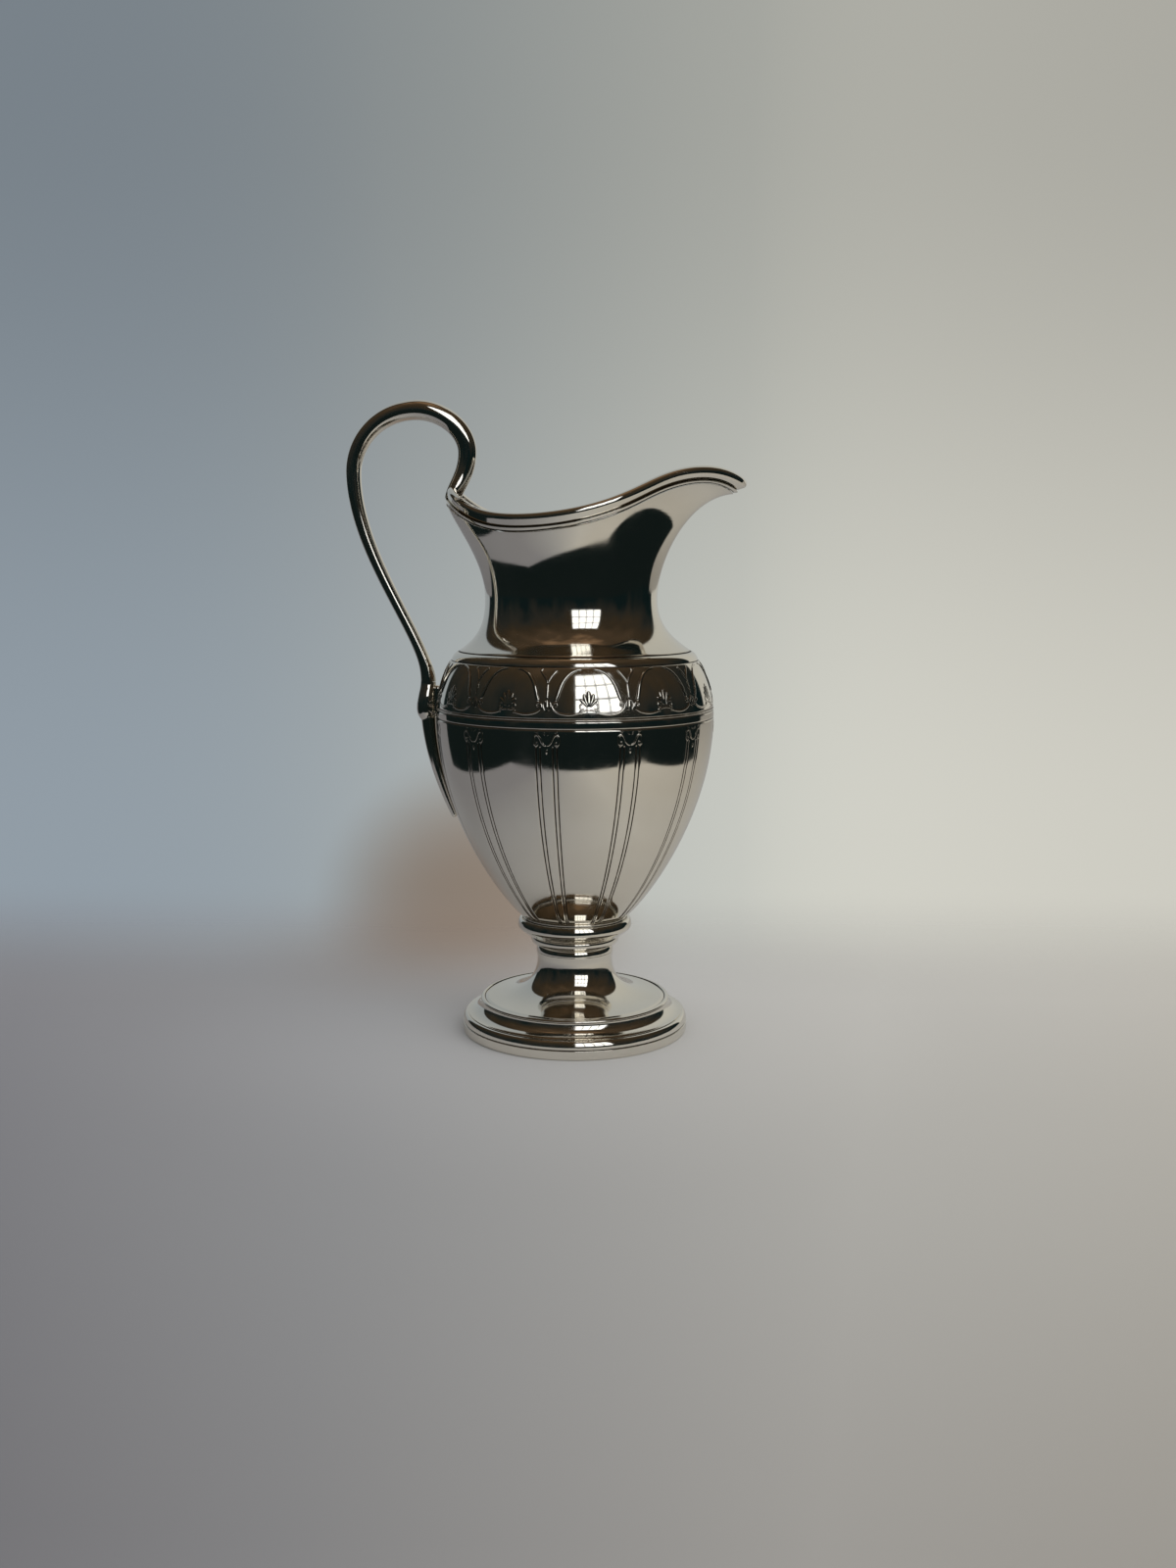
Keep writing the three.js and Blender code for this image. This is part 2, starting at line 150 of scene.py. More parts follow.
def add(tree, kind, inputs=None, **settings):
    """A shader node with its settings. An input is a plain value or another node's output."""
    made = tree.nodes.new(kind)
    for key, value in settings.items():
        setattr(made, key, value)
    for key, value in (inputs or {}).items():
        if isinstance(value, bpy.types.NodeSocket):
            tree.links.new(value, made.inputs[key])
        else:
            made.inputs[key].default_value = value
    return made


def group(name, inputs, outputs):
    """An empty shader node group with its sockets: (name, socket type) pairs in and out."""
    tree = bpy.data.node_groups.new(name, "ShaderNodeTree")
    for label, kind in inputs:
        tree.interface.new_socket(label, in_out="INPUT", socket_type=kind)
    for label, kind in outputs:
        tree.interface.new_socket(label, in_out="OUTPUT", socket_type=kind)
    return tree, add(tree, "NodeGroupInput"), add(tree, "NodeGroupOutput")


def ramp(tree, factor, stops):
    """A colour ramp with stops of (place, colour)."""
    made = add(tree, "ShaderNodeValToRGB", {"Fac": factor})
    while len(made.color_ramp.elements) < len(stops):
        made.color_ramp.elements.new(0.5)
    for element, (place, colour) in zip(made.color_ramp.elements, stops):
        element.position = place
        element.color = (*colour, 1)
    return made.outputs["Color"]


def eased(tree, value, low, high, to_low=0.0, to_high=1.0):
    """A value carried smoothly from one range to another and held at its ends."""
    made = add(
        tree,
        "ShaderNodeMapRange",
        {"Value": value, "From Min": low, "From Max": high, "To Min": to_low, "To Max": to_high},
        interpolation_type="SMOOTHSTEP",
    )
    return made.outputs["Result"]


def maths(tree, operation, first, second=0.0):
    """One arithmetic step on values."""
    return add(tree, "ShaderNodeMath", {0: first, 1: second}, operation=operation).outputs["Value"]


def blended(tree, factor, first, second):
    """Two colours mixed by a factor."""
    made = add(tree, "ShaderNodeMix", data_type="RGBA")
    for socket, value in zip((made.inputs[0], made.inputs[6], made.inputs[7]), (factor, first, second)):
        if isinstance(value, bpy.types.NodeSocket):
            tree.links.new(value, socket)
        else:
            socket.default_value = value
    return made.outputs[2]


# The two effects that all the silver shares: the marks of polishing, and tarnish left in the hollows.
VALUE, COLOUR = "NodeSocketFloat", "NodeSocketColor"
polish, polish_in, polish_out = group(
    "hand_polish",
    [("Ring Lines", VALUE), ("Smudges", VALUE), ("Inside", VALUE)],
    [("Roughness", VALUE), ("Height", VALUE)],
)
place = add(polish, "ShaderNodeTexCoord").outputs["Object"]
rings = add(polish, "ShaderNodeMapping", {"Vector": place, "Scale": (55, 55, 2600)}).outputs["Vector"]
ring_noise = add(polish, "ShaderNodeTexNoise", {"Vector": rings, "Scale": 1, "Detail": 3}).outputs["Fac"]
smudge = add(polish, "ShaderNodeTexNoise", {"Vector": place, "Scale": 34, "Detail": 7, "Roughness": 0.62})
haze = eased(polish, smudge.outputs["Fac"], 0.47, 0.72)
cloth_strokes = {"Vector": place, "Rotation": (0.5, 0.2, 0.9), "Scale": (300, 40, 700)}
wiped = add(polish, "ShaderNodeMapping", cloth_strokes).outputs["Vector"]
wipe_noise = add(polish, "ShaderNodeTexNoise", {"Vector": wiped, "Scale": 1, "Detail": 5}).outputs["Fac"]
wipes = eased(polish, wipe_noise, 0.52, 0.8)
smeared = maths(polish, "ADD", haze, maths(polish, "MULTIPLY", wipes, 0.5))
smeared = maths(polish, "MULTIPLY", smeared, polish_in.outputs["Smudges"])
lined = maths(polish, "MULTIPLY", ring_noise, polish_in.outputs["Ring Lines"])
smear_roughness = maths(polish, "MULTIPLY", smeared, 0.085)
line_roughness = maths(polish, "MULTIPLY", lined, 0.03)
unreached = maths(polish, "MULTIPLY", polish_in.outputs["Inside"], 0.2)
worn = maths(polish, "ADD", smear_roughness, line_roughness)
roughness = maths(polish, "ADD", maths(polish, "ADD", worn, 0.045), unreached)
polish.links.new(roughness, polish_out.inputs["Roughness"])
scratches = maths(polish, "ADD", lined, maths(polish, "MULTIPLY", wipes, 0.12))
polish.links.new(scratches, polish_out.inputs["Height"])

tarnish, tarnish_in, tarnish_out = group(
    "tarnish",
    [("Hollow", VALUE), ("Inside", VALUE)],
    [("Colour", COLOUR), ("Dullness", VALUE)],
)
place = add(tarnish, "ShaderNodeTexCoord").outputs["Object"]
patchy = add(tarnish, "ShaderNodeTexNoise", {"Vector": place, "Scale": 260, "Detail": 4}).outputs["Fac"]
broad = add(tarnish, "ShaderNodeTexNoise", {"Vector": place, "Scale": 22, "Detail": 3}).outputs["Fac"]
uneven = eased(tarnish, patchy, 0.2, 0.6, 0.72, 1.08)
held = maths(tarnish, "MULTIPLY", tarnish_in.outputs["Hollow"], uneven)
bright = ramp(tarnish, broad, [(0.35, (0.83, 0.78, 0.69)), (0.65, (0.88, 0.84, 0.755))])
lining = blended(tarnish, tarnish_in.outputs["Inside"], bright, (0.66, 0.63, 0.57, 1))
stains = [(0.25, (0.5, 0.43, 0.33)), (0.6, (0.075, 0.06, 0.045)), (0.95, (0.016, 0.013, 0.011))]
dark = ramp(tarnish, held, stains)
stained = blended(tarnish, eased(tarnish, held, 0.1, 0.5), lining, dark)
tarnish.links.new(stained, tarnish_out.inputs["Colour"])
tarnish.links.new(eased(tarnish, held, 0.15, 0.8, 0, 0.4), tarnish_out.inputs["Dullness"])


def silver(name, ring_lines, smudges, line_depth):
    """Polished silver: a metal whose roughness is the polish plus the tarnish, with the polishing lines as
    a slight bump. The marks hollow and inside say where tarnish stays and what a cloth can't reach."""
    made = bpy.data.materials.new(name)
    made.use_nodes = True
    tree = made.node_tree
    shader = tree.nodes["Principled BSDF"]
    shader.inputs["Metallic"].default_value = 1
    hollow = add(tree, "ShaderNodeAttribute", attribute_name="hollow").outputs["Fac"]
    inside = add(tree, "ShaderNodeAttribute", attribute_name="inside").outputs["Fac"]
    worked = add(tree, "ShaderNodeGroup", node_tree=polish)
    worked.inputs["Ring Lines"].default_value = ring_lines
    worked.inputs["Smudges"].default_value = smudges
    tree.links.new(inside, worked.inputs["Inside"])
    stained = add(tree, "ShaderNodeGroup", node_tree=tarnish)
    tree.links.new(hollow, stained.inputs["Hollow"])
    tree.links.new(inside, stained.inputs["Inside"])
    dullness = maths(tree, "ADD", worked.outputs["Roughness"], stained.outputs["Dullness"])
    lines = {"Height": worked.outputs["Height"], "Strength": 0.25, "Distance": line_depth}
    bump = add(tree, "ShaderNodeBump", lines)
    tree.links.new(stained.outputs["Colour"], shader.inputs["Base Color"])
    tree.links.new(dullness, shader.inputs["Roughness"])
    tree.links.new(bump.outputs["Normal"], shader.inputs["Normal"])
    return made


spun_silver = silver("spun_silver", ring_lines=1.0, smudges=0.8, line_depth=0.00002)
round_bearings = np.arange(288) * 2 * np.pi / 288
wire_radius, wire_top = span("foot_ring")[1][1:]
wire_inside = wire_radius - 4.4
wire_seat = wire_radius - 1.9
band_top = 4.0
wire_outline = np.vstack([
    (wire_inside, 0),
    (wire_radius - 0.5, 0),
    (wire_radius, 0.5),
    (wire_radius, band_top),
    (wire_radius - 0.4, band_top + 0.15),
    (wire_radius - 0.4, band_top + 0.4),
    quarter((wire_radius - 0.1, band_top + 0.5), (wire_seat, wire_top), False),
    (wire_inside, wire_top),
])
wire_profile, wire_hollow = softened(wire_outline, 0.12, 110)
wire = grid(turned(wire_profile, round_bearings), hollow=wire_hollow[:, None])
fitted("base_wire", [wire], spun_silver, "foot_ring")

# Pedestal: one sheet spun over a chuck into cavetto, nosed edge, dish and hollow stem, open underneath. Its
# edge is soldered to the base wire, and a line is cut round the dish inside its edge.
sheet = 1.0


def curve(p0, p1, p2, p3, count=120):
    """A cubic Bezier curve: the four points weighted by the terms of (1 - t + t) cubed."""
    t = np.linspace(0, 1, count)[:, None]
    weights = ((1 - t) ** 3, 3 * t * (1 - t) ** 2, 3 * t**2 * (1 - t), t**3)
    return sum(weight * np.array(point, float) for weight, point in zip(weights, (p0, p1, p2, p3)))


foot_low, foot_high = span("pedestal_foot")
foot_edge, foot_base, stem_top = foot_high[1], foot_low[2], foot_high[2]
cavetto_top = np.array([foot_edge - 6.1, foot_base + 5.4])
nose = cavetto_top + (-0.3, 1.2)
dish_edge = nose - (0.8, 0)
stem_waist = np.array([16.3, stem_top - 2.8])
stem_lip = np.array([16.8, stem_top])
cut = 0.45


def dish(inset):
    """The dish: nearly flat at its edge, then swept up into the stem."""
    edge, waist = dish_edge - inset, stem_waist - (inset, 0)
    return curve(edge, edge + (-13, 0.8), waist - (0, 13), waist)


foot_outline = np.vstack([
    (foot_edge - 0.3, foot_base),
    (foot_edge, foot_base + 0.25),
    quarter((foot_edge - 0.1, foot_base + 0.3), cavetto_top, True),
    cavetto_top + (0.35, 0.25),
    quarter(cavetto_top + (0.35, 0.4), nose - (0.5, 0), False),
    dish_edge + (-0.1, 0),
    dish_edge + (-0.25, -cut),
    dish_edge + (-0.5, -cut),
    dish(0)[5:],
    stem_lip,
    stem_lip - (sheet, 0),
    dish(sheet)[::-1],
    cavetto_top - sheet,
    quarter(cavetto_top - sheet, (foot_edge - 2 * sheet, foot_base), False),
])
foot_profile, foot_hollow = softened(foot_outline, 0.15, 230)
stem_mouth = stem_lip - (sheet / 2, 0)
inner_foot = np.arange(len(foot_profile)) > np.argmin(np.hypot(*(foot_profile - stem_mouth).T))
foot_wall = turned(foot_profile, round_bearings)
pedestal = grid(foot_wall, hollow=foot_hollow[:, None], inside=inner_foot[:, None])
fitted("pedestal", [pedestal], spun_silver, "pedestal_foot")

# Stem ring and knop: two cast and turned rings threaded over the top of the stem. The lower one is a
# rounded shoulder under a half-round. The upper one is a full round that tapers in below, and the bowl's
# bottom is soldered to it.
ring_bore = 13.2
ring_low, ring_high = span("stem_bead")
ring_foot, ring_top, ring_radius = ring_low[2], ring_high[2], ring_high[1]
shoulder_top = ring_foot + 3.4
ring_belly = (shoulder_top + ring_top) / 2 + 0.2
ring_outline = np.vstack([
    (ring_bore, ring_foot),
    quarter((stem_lip[0], ring_foot), (stem_lip[0] - 1.7, shoulder_top), False),
    quarter((stem_lip[0] + 0.6, shoulder_top), (ring_radius, ring_belly), True),
    quarter((ring_radius, ring_belly), (ring_radius - 0.5, ring_top - 0.35), False),
    (ring_radius - 0.9, ring_top - 0.35),
    (ring_radius - 0.9, ring_top),
    (ring_bore, ring_top),
])
knop_low, knop_high = span("knop_ring")
knop_radius, knop_foot, knop_top = knop_high[1], knop_low[2], knop_high[2]
knop_widest = np.array([knop_radius, knop_foot + 4.4])
knop_tuck = np.array([knop_radius - 4.2, knop_foot + 0.3])
knop_outline = np.vstack([
    (ring_bore, knop_foot),
    knop_tuck - (1.0, 0.3),
    knop_tuck - (1.0, 0),
    curve(knop_tuck, knop_tuck + 1.8, knop_widest - (0, 1.5), knop_widest),
    quarter(knop_widest, (knop_radius - 1.5, knop_top - 0.8), False),
    (knop_radius - 2.1, knop_top - 0.8),
    (knop_radius - 2.0, knop_top - 0.2),
    (knop_radius - 2.3, knop_top),
    (ring_bore, knop_top),
])
for piece_name, outline, node in (
    ("stem_ring", ring_outline, "stem_bead"),
    ("knop", knop_outline, "knop_ring"),
):
    profile, hollow = softened(outline, 0.12, 120)
    ring = grid(turned(profile, round_bearings), hollow=hollow[:, None])
    fitted(piece_name, [ring], spun_silver, node)

# Bowl: the lower half of the vase, raised from sheet and closed at the bottom. Eleven pilasters are chased
# on it, each a pair of double lines that run down to the knop from a scrolled capital under the girdle.
bays = 11
bay = 360 / bays
girdle_radius, girdle = bowl_high.y / MM, bowl_high.z / MM
bowl_foot = bowl_low.z / MM


def measured(line, side):
    """A profile (radius, height) with the distance walked along it in front and its outward directions
    behind: the heading turned a quarter, to the left for a side of 1 and to the right for -1."""
    heading = np.gradient(line, axis=0)
    heading /= np.hypot(*heading.T)[:, None]
    walked = np.r_[0, np.cumsum(np.hypot(*np.diff(line, axis=0).T))]
    return np.column_stack([walked, line, -side * heading[:, 1], side * heading[:, 0]])


def laid(profile, degrees, walked, lift):
    """Points on the vase at a bearing and at a distance along a measured profile, lifted off it by a height
    square to its surface."""
    radius, height, out, up = (np.interp(walked, profile[:, 0], column) for column in profile.T[1:])
    turn = np.radians(degrees)
    radius = radius + lift * out
    x, y = radius * np.cos(turn), radius * np.sin(turn)
    return np.stack(np.broadcast_arrays(x, y, height + lift * up), axis=-1)


def crowded(limit, marks, width, count):
    """Count places from 0 to limit, closer together near the marks: equal steps of a running total that
    grows evenly and, by a bell curve of the given width, faster at each mark."""
    fine = np.linspace(0, limit, 4000)
    pull = 1 + sum(6 * np.exp(-(((fine - mark) / width) ** 2)) for mark in marks)
    total = np.cumsum(pull) - pull[0]
    return np.interp(np.linspace(0, total[-1], count), total, fine)


def stroke(points, count):
    """A smooth line through every point, in equal steps, and the distance walked to each step: between two
    points it is a cubic whose headings go by their neighbours (a Catmull-Rom spline)."""
    points = np.array(points, float)
    p = np.vstack([2 * points[0] - points[1], points, 2 * points[-1] - points[-2]])
    t = np.linspace(0, 1, 24, endpoint=False)[:, None, None]
    a, b, c, d = p[:-3], p[1:-2], p[2:-1], p[3:]
    spans = (2 * b + (c - a) * t + (2 * a - 5 * b + 4 * c - d) * t**2 + (3 * b - a - 3 * c + d) * t**3) / 2
    line = np.vstack([spans.transpose(1, 0, 2).reshape(-1, 2), points[-1:]])
    walked = np.r_[0, np.cumsum(np.hypot(*np.diff(line, axis=0).T))]
    at = np.linspace(0, walked[-1], count)
    return np.stack([np.interp(at, walked, line[:, 0]), np.interp(at, walked, line[:, 1])], axis=1), at


ridge_across = np.array([-1.6, -1.5, -1.15, -0.8, -0.4, 0, 0.4, 0.8, 1.15, 1.5, 1.6])
ridge_height = np.array([0, 0, 0, 0.5, 0.9, 1, 0.9, 0.5, 0, 0, 0])
ridge_tarnish = np.array([0, 0.1, 0.75, 0.3, 0, 0, 0, 0.3, 0.75, 0.1, 0])
ridge_sunk = np.array([1, 0, 0, 0, 0, 0, 0, 0, 0, 0, 1])


def ridge(profile, points, widths, crown, centres, mirrored=True, count=24):
    """A chased line on the vase: a rounded ridge with tarnish along both sides. Its points are millimetres
    across from a centre and millimetres along the profile. The width goes through the given ones in equal
    shares and closes at the ends on a round of half a millimetre, and the crown shrinks with it. The ridge
    is repeated at every centre, in degrees, and mirrored there."""
    line, at = stroke(points, count)
    heading = np.gradient(line, axis=0)
    heading /= np.hypot(*heading.T)[:, None]
    share = at / at[-1]
    from_end = np.clip(np.minimum(at, at[-1] - at) / 0.5, 0, 1)
    width = np.interp(share, np.linspace(0, 1, len(widths)), widths) * np.sqrt(1 - (1 - from_end) ** 2)
    aside = width[:, None] / 2 * ridge_across
    across = line[:, :1] - aside * heading[:, 1:]
    along = line[:, 1:] + aside * heading[:, :1]
    girth = np.radians(1) * np.interp(along, profile[:, 0], profile[:, 1])
    sides = (1, -1) if mirrored else (1,)
    degrees = np.stack([centre + side * across / girth for centre in centres for side in sides])
    lift = crown * (width / width.max())[:, None] * ridge_height + 0.012 - 0.16 * ridge_sunk
    return grid(laid(profile, degrees, along, lift), closed=False, hollow=ridge_tarnish)


bowl_curve = curve(
    (girdle_radius, girdle),
    (girdle_radius, girdle - 39.8),
    (34.8, bowl_foot + 10.75),
    (22.9, bowl_foot),
    1200,
)
bowl_profile = measured(bowl_curve, side=1)
bowl_length = bowl_profile[-1, 0]
line_inner, line_outer, line_width = 2.45, 4.05, 0.6
line_start = 6.9
half_bay = crowded(bay / 2, (line_inner, line_outer), 0.55, 28)
columns = np.r_[-half_bay[:0:-1], half_bay[:-1]]
drops = np.concatenate([
    [0, 0.2, 0.4, 0.7, 1.2],
    np.arange(2, 6.4, 0.8),
    np.arange(6.4, 8, 0.2),
    np.linspace(8.4, bowl_length, 64),
])
girth = np.radians(1) * np.interp(drops, bowl_profile[:, 0], bowl_profile[:, 1])[:, None]


def groove(gap, width):
    """A chased line: a round-bottomed groove one width across, with a low lip pushed up at each side."""
    pushed_up = np.exp(-(((gap - 0.95 * width) / (0.35 * width)) ** 2))
    return np.exp(-((gap / (0.42 * width)) ** 2)) - 0.35 * pushed_up


begins = 1 / (1 + np.exp((line_start - drops[:, None]) / 0.12))
ends = 1 / (1 + np.exp((drops[:, None] - bowl_length + 1.0) / 0.25))
ruled = groove(np.abs(np.abs(columns) - line_inner) * girth, line_width)
ruled = np.maximum(ruled, groove(np.abs(np.abs(columns) - line_outer) * girth, line_width)) * begins * ends
joint = np.exp(-((drops[:, None] / 0.3) ** 2))
collar = np.exp(-(((drops[:, None] - bowl_length + 0.7) / 0.3) ** 2))
depth = np.tile(0.16 * ruled, bays) + 0.3 * joint + 0.12 * collar
spread = 1 + 0.16 * drops[:, None] / bowl_length * np.sqrt(1 - np.abs(columns) / (bay / 2 + 0.01))
degrees = np.hstack([columns * spread + bay * k for k in range(bays)])
outer = laid(bowl_profile, degrees, drops[:, None], -depth)
under = turned(np.array([(r, bowl_foot) for r in (21.5, 17.0, 9.0, 0.0)]), np.radians(degrees[-1]))
walls = bowl_profile[:, 1:3] - sheet * bowl_profile[:, 3:]
lining = walls[walls[:, 1] > bowl_foot + 2 * sheet][::28]
bottom_edge, bottom_level = lining[-1, 0] - 2.0, bowl_foot + sheet
bottom = np.array([(bottom_edge * share, bottom_level) for share in (1, 0.6, 0)])
inner = turned(np.vstack([lining, bottom]), np.radians(degrees[0]))[::-1]
stains = np.zeros((len(inner) + len(outer) + len(under), len(degrees[0])))
stains[len(inner):-len(under)] = np.clip(np.tile(ruled, bays) + 0.7 * joint + 0.6 * collar, 0, 1)
lined = np.arange(len(stains))[:, None] < len(inner)
bowl_wall = grid(np.concatenate([inner, outer, under]), closed=False, hollow=stains, inside=lined)
pilasters = bay * np.arange(bays)
scroll = [
    (0.0, 6.3), (0.9, 6.1), (1.75, 5.3), (2.35, 4.0), (3.1, 2.6), (4.1, 2.05), (5.0, 2.9),
    (5.1, 4.4), (4.75, 5.9), (4.0, 6.35), (3.5, 5.7), (3.75, 4.9), (4.3, 5.0),
]
near_leaf = [(0.5, 2.2), (0.9, 1.5), (1.5, 0.9)]
far_leaf = [(3.2, 1.3), (3.9, 0.9), (4.7, 0.75)]
bud = [(0, 7.7), (0, 8.6), (0, 9.8)]
capitals = [
    ridge(bowl_profile, scroll, (0.55, 0.75, 0.7, 0.6), 0.12, pilasters, count=44),
    ridge(bowl_profile, near_leaf, (0.4, 0.6, 0.3), 0.06, pilasters, count=12),
    ridge(bowl_profile, far_leaf, (0.3, 0.55, 0.3), 0.05, pilasters, count=12),
    ridge(bowl_profile, bud, (0.5, 0.8, 0.3), 0.14, pilasters, mirrored=False, count=12),
]
chased_silver = silver("chased_silver", ring_lines=0.7, smudges=1.0, line_depth=0.00002)
fitted("bowl_chased", [bowl_wall, *capitals], chased_silver, "bowl")

# Shoulder: the upper half of the vase, soldered to the bowl at the girdle. Between a bead over the girdle
# and a roll under the neck it is chased with eleven arches, each over a palmette and a garland, with lilies
# and husks between them.
neckline, neckline_radius = span("shoulder")[1][2], 49.6
neckline_slope = np.radians(40)
neckline_turn = 6.7 * np.array([np.cos(neckline_slope), -np.sin(neckline_slope)])
neck_joint = np.array([neckline_radius, neckline])
fullness = np.array([0, 11.3])
girdle_edge = np.array([girdle_radius, girdle])
shoulder_profile = measured(
    curve(girdle_edge, girdle_edge + fullness, neck_joint + neckline_turn, neck_joint, 1200), side=-1
)
shoulder_length = shoulder_profile[-1, 0]
bead_low, bead_high, field_top, roll_low = 3.3, 4.2, 25.4, 25.9
rises = crowded(shoulder_length, (0, bead_low, bead_high, field_top, shoulder_length), 0.55, 92)
rise = rises[:, None]
ruled = sum(np.exp(-(((rise - at) / 0.26) ** 2)) for at in (field_top, bead_low, bead_high))
roll = np.sin(np.pi * np.clip((rise - roll_low) / (shoulder_length - roll_low), 0, 1)) ** 0.7
bead = np.sin(np.pi * np.clip((rise - bead_low) / (bead_high - bead_low), 0, 1))
joints = np.exp(-((rise / 0.3) ** 2)) + np.exp(-(((rise - shoulder_length) / 0.3) ** 2))
columns = np.arange(264) * 360 / 264
outer = laid(shoulder_profile, columns, rise, 0.4 * roll + 0.14 * bead - 0.2 * ruled - 0.25 * joints)
inner_joint, inner_edge = neck_joint - (1.6, 0), girdle_edge - (sheet, 0)
lining = curve(inner_joint, inner_joint + neckline_turn, inner_edge + fullness, inner_edge, 9)
inner = turned(lining, np.radians(columns))
stains = np.vstack([np.clip(0.8 * ruled + 0.75 * joints, 0, 1), np.zeros((len(inner), 1))])
lined = np.arange(len(stains))[:, None] >= len(outer)
shoulder_wall = grid(np.concatenate([outer, inner]), hollow=stains, inside=lined)


def placed(points):
    """Points given as (degrees from a centre, millimetres above the girdle), with the degrees laid out in
    millimetres at the girth of the shoulder there."""
    degrees, climb = np.array(points, float).T
    girth = np.radians(1) * np.interp(climb, shoulder_profile[:, 0], shoulder_profile[:, 1])
    return np.stack([degrees * girth, climb], axis=1)


arches = bay * (np.arange(bays) + 0.5)
arch = [
    (2.2, 24.5), (4.0, 24.3), (5.9, 23.6), (7.8, 22.3), (9.4, 20.5),
    (10.7, 18.2), (11.6, 15.7), (12.3, 13.3), (13.1, 11.1),
]
garland = [
    (2.3, 7.9), (3.1, 7.0), (4.8, 6.35), (8.0, 6.0), (11.2, 6.5), (13.3, 7.6),
    (14.3, 9.0), (13.9, 10.3), (12.8, 10.6), (12.2, 9.8), (12.8, 9.2), (13.3, 9.5),
]
palm_curl = [(0.5, 8.9), (1.3, 10.0), (2.5, 10.4), (3.5, 9.6), (3.3, 8.5), (2.4, 8.2), (2.1, 8.9)]
palm_foot = [(0.0, 7.6), (0.9, 7.8), (1.9, 7.6), (2.9, 7.8), (3.6, 7.2), (3.1, 6.5), (2.4, 6.8)]
lily_arm = [(0, 18.3), (0.35, 19.4), (1.5, 21.5), (3.3, 23.7), (3.9, 24.3)]
lily_flag = [(3.3, 23.6), (2.9, 24.3), (2.5, 25.0)]
husk_side = [(0.3, 11.6), (1.3, 10.6), (1.5, 9.2), (0.6, 7.4)]
petal_middle = [(0, 9.0), (0, 12), (0, 15.6)]
petal_near = [(0.3, 9.2), (1.3, 11.8), (2.0, 14.4)]
petal_far = [(0.6, 9.1), (2.0, 10.9), (3.6, 12.3)]
lily_stem = [(0, 18.6), (0, 15.2), (0, 12.2)]
husk_middle = [(0, 11.9), (0, 9.5), (0, 6.9)]
chasing = [
    ridge(shoulder_profile, placed(points), widths, crown, centres, mirrored, count)
    for points, widths, crown, centres, mirrored, count in (
        (arch, (0.6, 0.8, 1.0, 1.2, 1.1), 0.45, arches, True, 40),
        (garland, (0.5, 0.8, 0.85, 0.75, 0.5), 0.24, arches, True, 44),
        (palm_curl, (0.5, 0.6, 0.45), 0.15, arches, True, 22),
        (palm_foot, (0.5, 0.6, 0.45), 0.15, arches, True, 22),
        (petal_near, (0.5, 1.1, 1.3, 0.7), 0.28, arches, True, 16),
        (petal_far, (0.5, 1.0, 1.2, 0.6), 0.26, arches, True, 16),
        (petal_middle, (0.6, 1.5, 1.8, 0.8), 0.32, arches, False, 16),
        (lily_arm, (0.5, 0.7, 0.8, 0.5), 0.32, pilasters, True, 18),
        (lily_flag, (0.5, 0.5, 0.3), 0.12, pilasters, True, 10),
        (husk_side, (0.4, 0.7, 0.8, 0.4), 0.22, pilasters, True, 16),
        (lily_stem, (0.7, 0.8, 0.6), 0.16, pilasters, False, 14),
        (husk_middle, (0.4, 1.2, 0.4), 0.2, pilasters, False, 14),
    )
]
fitted("shoulder_chased", [shoulder_wall, *chasing], chased_silver, "shoulder")

# Neck and spout: a waisted tube raised from sheet, flared at the top and drawn out over a stake into the
# spout. It is soldered to the shoulder at the neckline, where a fine dark line is left.
neck_bearings = np.arange(480) * 2 * np.pi / 480
neck_bearings = neck_bearings - 0.55 * np.sin(neck_bearings)
waist = np.array([36.65, neckline + 22.2])
waist_set_back = 1.5
spring, spring_length, waist_length = np.radians(146), 10, 11.1
lip_side = waist[1] + 26.3


def lip(bearing):
    """The lip at a bearing, 0 at the spout and pi at the handle: radius, height, tilt of the wire on it,
    flare and its length, and how far the wall keeps upright above the waist. Spout and back are humps on a
    round mouth, each a power of the squared half-angle cosine or sine."""
    spout = (1 + np.cos(bearing)) / 2
    back = 1 - spout
    throat = spout**14
    radius = 43.6 + 10.8 * back**6 + 22.9 * spout**22
    height = lip_side + 13.6 * back**12.5 + 23.1 * spout**3.25 - 6 * spout**80
    tilt = np.radians(42 * throat - 25 * back**12.5)
    flare = np.radians(28 + 58 * throat - 6 * back**4)
    return radius, height, tilt, flare, 10.5 + 8.5 * throat, 9.3 + 6.6 * (back**4 + spout**4)


def lip_plan(bearing):
    """The lip seen from above."""
    return lip(bearing)[0] * np.stack([np.cos(bearing), np.sin(bearing)])


def beside_lip(bearing, out, up):
    """Points beside the lip: out is square to the lip's plan and up is square to out, both leaned by the
    tilt."""
    along = lip_plan(bearing + 1e-3) - lip_plan(bearing - 1e-3)
    along /= np.hypot(*along)
    foot = lip_plan(bearing)
    height, tilt = lip(bearing)[1:3]
    level = out * np.cos(tilt) + up * np.sin(tilt)
    rise = up * np.cos(tilt) - out * np.sin(tilt)
    return np.stack([foot[0] + level * along[1], foot[1] - level * along[0], height + rise], axis=-1)


